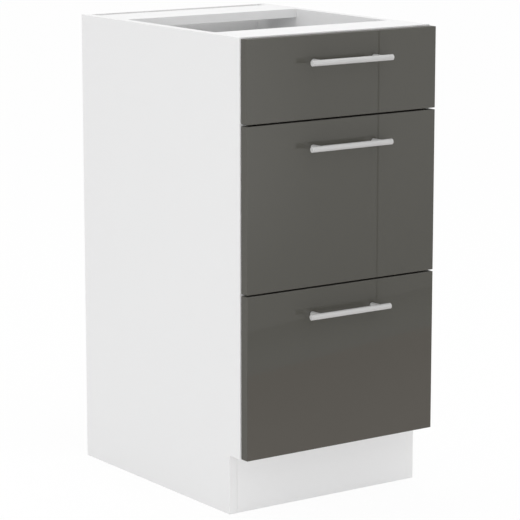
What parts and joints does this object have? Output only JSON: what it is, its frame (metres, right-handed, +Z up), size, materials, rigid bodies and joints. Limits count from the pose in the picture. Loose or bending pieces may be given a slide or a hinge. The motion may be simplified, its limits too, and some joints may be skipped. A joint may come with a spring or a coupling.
{
  "type": "base cabinet with drawers",
  "caption": "Free-standing kitchen base cabinet with a white carcass, open top, toe space and grey gloss drawers with round bar handles on roller runners.",
  "frame": {"origin": "on the floor, under the middle of the cabinet's whole box with its handles", "axes": "+Z up, -Y towards the drawer fronts, +X to the right of someone who faces them"},
  "size_m": [0.4, 0.5494, 0.82],
  "materials": {
    "white_laminate": "white laminated board, fine matt grain",
    "hardboard": "thin hardboard, white on the inner face, raw brown behind",
    "gloss_front": "grey high-gloss foil",
    "satin_nickel": "satin nickel",
    "coated_steel": "pale grey powder coat",
    "zinc_steel": "zinc-plated steel",
    "nylon": "natural nylon"
  },
  "bodies": {
    "carcass": {"side_panel_left": "white_laminate", "side_panel_right": "white_laminate", "bottom_panel": "white_laminate", "front_rail": "white_laminate", "rear_rail": "white_laminate", "plinth_board": "white_laminate", "back_panel": "hardboard", "cabinet_runner_lower_left": "zinc_steel", "cabinet_runner_lower_right": "zinc_steel", "cabinet_runner_middle_left": "zinc_steel", "cabinet_runner_middle_right": "zinc_steel", "cabinet_runner_upper_left": "zinc_steel", "cabinet_runner_upper_right": "zinc_steel"},
    "drawer_lower": {"drawer_front_lower": "gloss_front", "handle_bar_lower": "satin_nickel", "handle_post_lower_left": "satin_nickel", "handle_post_lower_right": "satin_nickel", "drawer_floor_lower": "white_laminate", "drawer_back_lower": "white_laminate", "drawer_side_lower_left": "coated_steel", "drawer_side_lower_right": "coated_steel", "front_bracket_lower_left": "zinc_steel", "front_bracket_lower_right": "zinc_steel"},
    "cabinet_roller_lower_left": {"cabinet_roller_lower_left": "nylon"},
    "drawer_roller_lower_left": {"drawer_roller_lower_left": "nylon"},
    "cabinet_roller_lower_right": {"cabinet_roller_lower_right": "nylon"},
    "drawer_roller_lower_right": {"drawer_roller_lower_right": "nylon"},
    "drawer_middle": {"drawer_front_middle": "gloss_front", "handle_bar_middle": "satin_nickel", "handle_post_middle_left": "satin_nickel", "handle_post_middle_right": "satin_nickel", "drawer_floor_middle": "white_laminate", "drawer_back_middle": "white_laminate", "drawer_side_middle_left": "coated_steel", "drawer_side_middle_right": "coated_steel", "front_bracket_middle_left": "zinc_steel", "front_bracket_middle_right": "zinc_steel"},
    "cabinet_roller_middle_left": {"cabinet_roller_middle_left": "nylon"},
    "drawer_roller_middle_left": {"drawer_roller_middle_left": "nylon"},
    "cabinet_roller_middle_right": {"cabinet_roller_middle_right": "nylon"},
    "drawer_roller_middle_right": {"drawer_roller_middle_right": "nylon"},
    "drawer_upper": {"drawer_front_upper": "gloss_front", "handle_bar_upper": "satin_nickel", "handle_post_upper_left": "satin_nickel", "handle_post_upper_right": "satin_nickel", "drawer_floor_upper": "white_laminate", "drawer_back_upper": "white_laminate", "drawer_side_upper_left": "coated_steel", "drawer_side_upper_right": "coated_steel", "front_bracket_upper_left": "zinc_steel", "front_bracket_upper_right": "zinc_steel"},
    "cabinet_roller_upper_left": {"cabinet_roller_upper_left": "nylon"},
    "drawer_roller_upper_left": {"drawer_roller_upper_left": "nylon"},
    "cabinet_roller_upper_right": {"cabinet_roller_upper_right": "nylon"},
    "drawer_roller_upper_right": {"drawer_roller_upper_right": "nylon"}
  },
  "joints": [
    {"name": "lower_drawer_slide", "type": "slide", "parent": "carcass", "child": "drawer_lower", "axis": [0, -1, 0], "range_m": [0, 0.345]},
    {"name": "cabinet_roller_lower_left_spin", "type": "hinge", "parent": "carcass", "child": "cabinet_roller_lower_left", "pos_m": [-0.178, -0.20025, 0.15], "axis": [1, 0, 0], "continuous": true},
    {"name": "drawer_roller_lower_left_spin", "type": "hinge", "parent": "drawer_lower", "child": "drawer_roller_lower_left", "pos_m": [-0.178, 0.20475, 0.1475], "axis": [1, 0, 0], "continuous": true},
    {"name": "cabinet_roller_lower_right_spin", "type": "hinge", "parent": "carcass", "child": "cabinet_roller_lower_right", "pos_m": [0.178, -0.20025, 0.15], "axis": [1, 0, 0], "continuous": true},
    {"name": "drawer_roller_lower_right_spin", "type": "hinge", "parent": "drawer_lower", "child": "drawer_roller_lower_right", "pos_m": [0.178, 0.20475, 0.1475], "axis": [1, 0, 0], "continuous": true},
    {"name": "middle_drawer_slide", "type": "slide", "parent": "carcass", "child": "drawer_middle", "axis": [0, -1, 0], "range_m": [0, 0.345]},
    {"name": "cabinet_roller_middle_left_spin", "type": "hinge", "parent": "carcass", "child": "cabinet_roller_middle_left", "pos_m": [-0.178, -0.20025, 0.436], "axis": [1, 0, 0], "continuous": true},
    {"name": "drawer_roller_middle_left_spin", "type": "hinge", "parent": "drawer_middle", "child": "drawer_roller_middle_left", "pos_m": [-0.178, 0.20475, 0.4335], "axis": [1, 0, 0], "continuous": true},
    {"name": "cabinet_roller_middle_right_spin", "type": "hinge", "parent": "carcass", "child": "cabinet_roller_middle_right", "pos_m": [0.178, -0.20025, 0.436], "axis": [1, 0, 0], "continuous": true},
    {"name": "drawer_roller_middle_right_spin", "type": "hinge", "parent": "drawer_middle", "child": "drawer_roller_middle_right", "pos_m": [0.178, 0.20475, 0.4335], "axis": [1, 0, 0], "continuous": true},
    {"name": "upper_drawer_slide", "type": "slide", "parent": "carcass", "child": "drawer_upper", "axis": [0, -1, 0], "range_m": [0, 0.345]},
    {"name": "cabinet_roller_upper_left_spin", "type": "hinge", "parent": "carcass", "child": "cabinet_roller_upper_left", "pos_m": [-0.178, -0.20025, 0.699], "axis": [1, 0, 0], "continuous": true},
    {"name": "drawer_roller_upper_left_spin", "type": "hinge", "parent": "drawer_upper", "child": "drawer_roller_upper_left", "pos_m": [-0.178, 0.20475, 0.6965], "axis": [1, 0, 0], "continuous": true},
    {"name": "cabinet_roller_upper_right_spin", "type": "hinge", "parent": "carcass", "child": "cabinet_roller_upper_right", "pos_m": [0.178, -0.20025, 0.699], "axis": [1, 0, 0], "continuous": true},
    {"name": "drawer_roller_upper_right_spin", "type": "hinge", "parent": "drawer_upper", "child": "drawer_roller_upper_right", "pos_m": [0.178, 0.20475, 0.6965], "axis": [1, 0, 0], "continuous": true}
  ],
  "couplings": [
    {"joint": "cabinet_roller_lower_left_spin", "follows": "lower_drawer_slide", "rad_per_m": 83.333},
    {"joint": "drawer_roller_lower_left_spin", "follows": "lower_drawer_slide", "rad_per_m": 90.909},
    {"joint": "cabinet_roller_lower_right_spin", "follows": "lower_drawer_slide", "rad_per_m": 83.333},
    {"joint": "drawer_roller_lower_right_spin", "follows": "lower_drawer_slide", "rad_per_m": 90.909},
    {"joint": "cabinet_roller_middle_left_spin", "follows": "middle_drawer_slide", "rad_per_m": 83.333},
    {"joint": "drawer_roller_middle_left_spin", "follows": "middle_drawer_slide", "rad_per_m": 90.909},
    {"joint": "cabinet_roller_middle_right_spin", "follows": "middle_drawer_slide", "rad_per_m": 83.333},
    {"joint": "drawer_roller_middle_right_spin", "follows": "middle_drawer_slide", "rad_per_m": 90.909},
    {"joint": "cabinet_roller_upper_left_spin", "follows": "upper_drawer_slide", "rad_per_m": 83.333},
    {"joint": "drawer_roller_upper_left_spin", "follows": "upper_drawer_slide", "rad_per_m": 90.909},
    {"joint": "cabinet_roller_upper_right_spin", "follows": "upper_drawer_slide", "rad_per_m": 83.333},
    {"joint": "drawer_roller_upper_right_spin", "follows": "upper_drawer_slide", "rad_per_m": 90.909}
  ]
}
